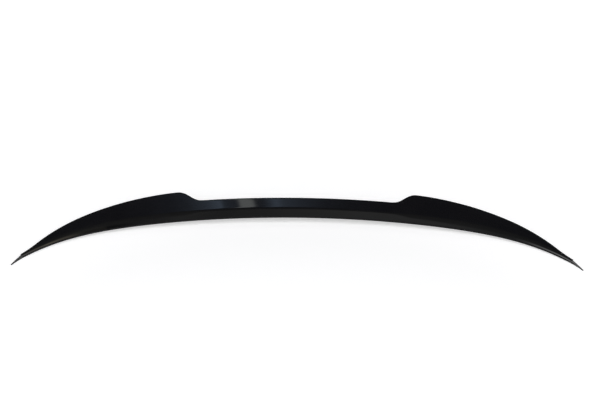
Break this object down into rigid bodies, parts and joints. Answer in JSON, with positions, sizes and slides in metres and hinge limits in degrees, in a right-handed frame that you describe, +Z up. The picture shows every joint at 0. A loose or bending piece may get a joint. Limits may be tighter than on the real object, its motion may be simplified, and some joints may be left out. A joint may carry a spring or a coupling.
{
  "type": "spoiler lip extension",
  "caption": "Slim curved boot-lid spoiler lip: a gloss shell, open below, with a bonding land, raised shoulders beside a low middle and pointed ends that wrap the lid's corners.",
  "frame": {"origin": "middle of the base of the whole piece, on the plane of its hem and its two points", "axes": "+X along the lip, +Y to the rear of the car, +Z up"},
  "size_m": [1.2024, 0.2614, 0.0553],
  "materials": {
    "lip": "gloss black"
  },
  "bodies": {
    "root": {"spoiler_lip": "lip"}
  },
  "joints": []
}
